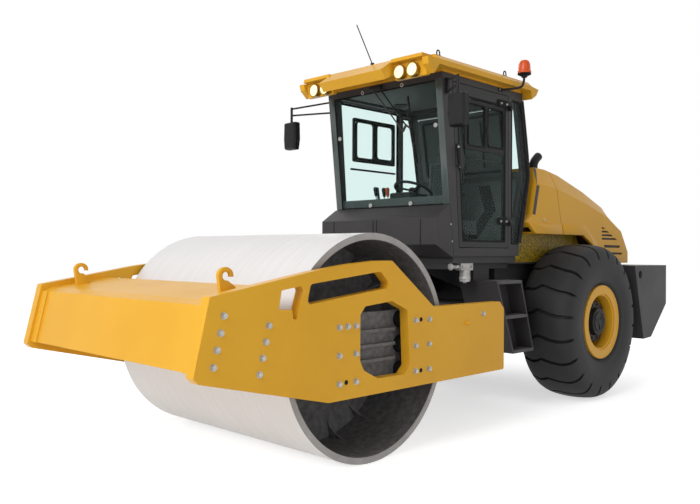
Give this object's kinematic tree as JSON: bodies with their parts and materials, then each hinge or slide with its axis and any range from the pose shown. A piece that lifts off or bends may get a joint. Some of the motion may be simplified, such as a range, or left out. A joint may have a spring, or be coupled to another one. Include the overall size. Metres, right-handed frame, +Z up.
{
  "type": "road roller",
  "caption": "Single-drum articulated road roller: smooth steel drum in a cut-plate front frame, glazed cab with faceted roof, sloping engine hood, rear tyres and counterweight.",
  "frame": {"origin": "on the ground under the articulation pin, at the middle of the overall length and width", "axes": "+X forward towards the drum, +Y to the machine's left (door side), +Z up"},
  "size_m": [6.76, 2.417, 3.6819],
  "materials": {
    "yellow_paint": "gloss machine enamel",
    "dark_grey_paint": "satin chassis paint",
    "drum_steel": "rolled plate, light grey",
    "buffer_rubber": "matt",
    "chromed_rod": "polished",
    "tyre_rubber": "matt new rubber",
    "black_plastic": "grained",
    "cab_tint": "clear, faint green",
    "lamp_lens": "clear lens",
    "amber_lens": "ribbed lens",
    "seat_cloth": "woven",
    "filter_casting": "cast"
  },
  "bodies": {
    "rear_frame": {"rear_chassis": "dark_grey_paint", "rear_axle": "dark_grey_paint", "engine_block": "dark_grey_paint", "counterweight": "dark_grey_paint", "tow_lug": "dark_grey_paint", "bay_panels": "yellow_paint", "hood_cowl": "yellow_paint", "exhaust_stub": "black_plastic", "left_steps": "dark_grey_paint", "right_tank": "dark_grey_paint", "cab_floor": "dark_grey_paint", "front_cowl": "dark_grey_paint", "cab_frame": "dark_grey_paint", "cab_glass": "cab_tint", "cab_roof": "yellow_paint", "roof_lamps": "lamp_lens", "beacon": "amber_lens", "antenna": "black_plastic", "mirrors": "black_plastic", "wiper": "black_plastic", "operator_seat": "seat_cloth", "steering_console": "black_plastic", "side_console": "black_plastic", "hydraulic_filter": "filter_casting", "door_hinges": "black_plastic"},
    "hitch": {"hitch_block": "dark_grey_paint"},
    "front_frame": {"side_plate_left": "yellow_paint", "side_plate_right": "yellow_paint", "front_beam": "yellow_paint", "rear_beam": "dark_grey_paint", "lifting_hooks": "yellow_paint", "drum_supports": "dark_grey_paint", "rubber_buffers": "buffer_rubber"},
    "drum": {"drum_shell": "drum_steel", "drum_heads": "dark_grey_paint"},
    "left_wheel": {"tyre_left": "tyre_rubber", "rim_left": "yellow_paint", "hub_left": "black_plastic"},
    "right_wheel": {"tyre_right": "tyre_rubber", "rim_right": "yellow_paint", "hub_right": "black_plastic"},
    "left_barrel": {"steering_barrel_left": "dark_grey_paint"},
    "right_barrel": {"steering_barrel_right": "dark_grey_paint"},
    "left_rod": {"steering_rod_left": "chromed_rod"},
    "right_rod": {"steering_rod_right": "chromed_rod"},
    "hood": {"hood": "yellow_paint"},
    "cab_door": {"door_frame": "dark_grey_paint", "door_glass": "cab_tint"}
  },
  "joints": [
    {"name": "steer", "type": "hinge", "parent": "rear_frame", "child": "hitch", "pos_m": [0, 0, 0.83], "axis": [0, 0, 1], "range_deg": [-33, 33]},
    {"name": "oscillate", "type": "hinge", "parent": "hitch", "child": "front_frame", "pos_m": [0.38, 0, 0.83], "axis": [1, 0, 0], "range_deg": [-10, 10]},
    {"name": "drum_roll", "type": "hinge", "parent": "front_frame", "child": "drum", "pos_m": [1.75, 0, 0.85], "axis": [0, 1, 0], "continuous": true},
    {"name": "left_wheel_spin", "type": "hinge", "parent": "rear_frame", "child": "left_wheel", "pos_m": [-1.75, 0.91, 0.825], "axis": [0, 1, 0], "continuous": true},
    {"name": "right_wheel_spin", "type": "hinge", "parent": "rear_frame", "child": "right_wheel", "pos_m": [-1.75, -0.91, 0.825], "axis": [0, 1, 0], "continuous": true},
    {"name": "left_barrel_swing", "type": "hinge", "parent": "rear_frame", "child": "left_barrel", "pos_m": [-0.62, 0.33, 0.83], "axis": [0, 0, 1], "range_deg": [-5, 5]},
    {"name": "left_rod_slide", "type": "slide", "parent": "left_barrel", "child": "left_rod", "axis": [0.997, -0.0776, 0], "range_m": [-0.165, 0.165]},
    {"name": "right_barrel_swing", "type": "hinge", "parent": "rear_frame", "child": "right_barrel", "pos_m": [-0.62, -0.33, 0.83], "axis": [0, 0, 1], "range_deg": [-5, 5]},
    {"name": "right_rod_slide", "type": "slide", "parent": "right_barrel", "child": "right_rod", "axis": [0.997, 0.0776, 0], "range_m": [-0.165, 0.165]},
    {"name": "hood_tilt", "type": "hinge", "parent": "rear_frame", "child": "hood", "pos_m": [-3.285, 0, 1.456], "axis": [0, -1, 0], "range_deg": [0, 50]},
    {"name": "door_swing", "type": "hinge", "parent": "rear_frame", "child": "cab_door", "pos_m": [-0.62, 0.761, 2.4], "axis": [0, 0, 1], "range_deg": [0, 110]}
  ],
  "couplings": [
    {"joint": "left_barrel_swing", "follows": "steer", "ratio": 0.1252},
    {"joint": "left_rod_slide", "follows": "steer", "m_per_rad": -0.27385},
    {"joint": "right_barrel_swing", "follows": "steer", "ratio": 0.1252},
    {"joint": "right_rod_slide", "follows": "steer", "m_per_rad": 0.27385}
  ]
}
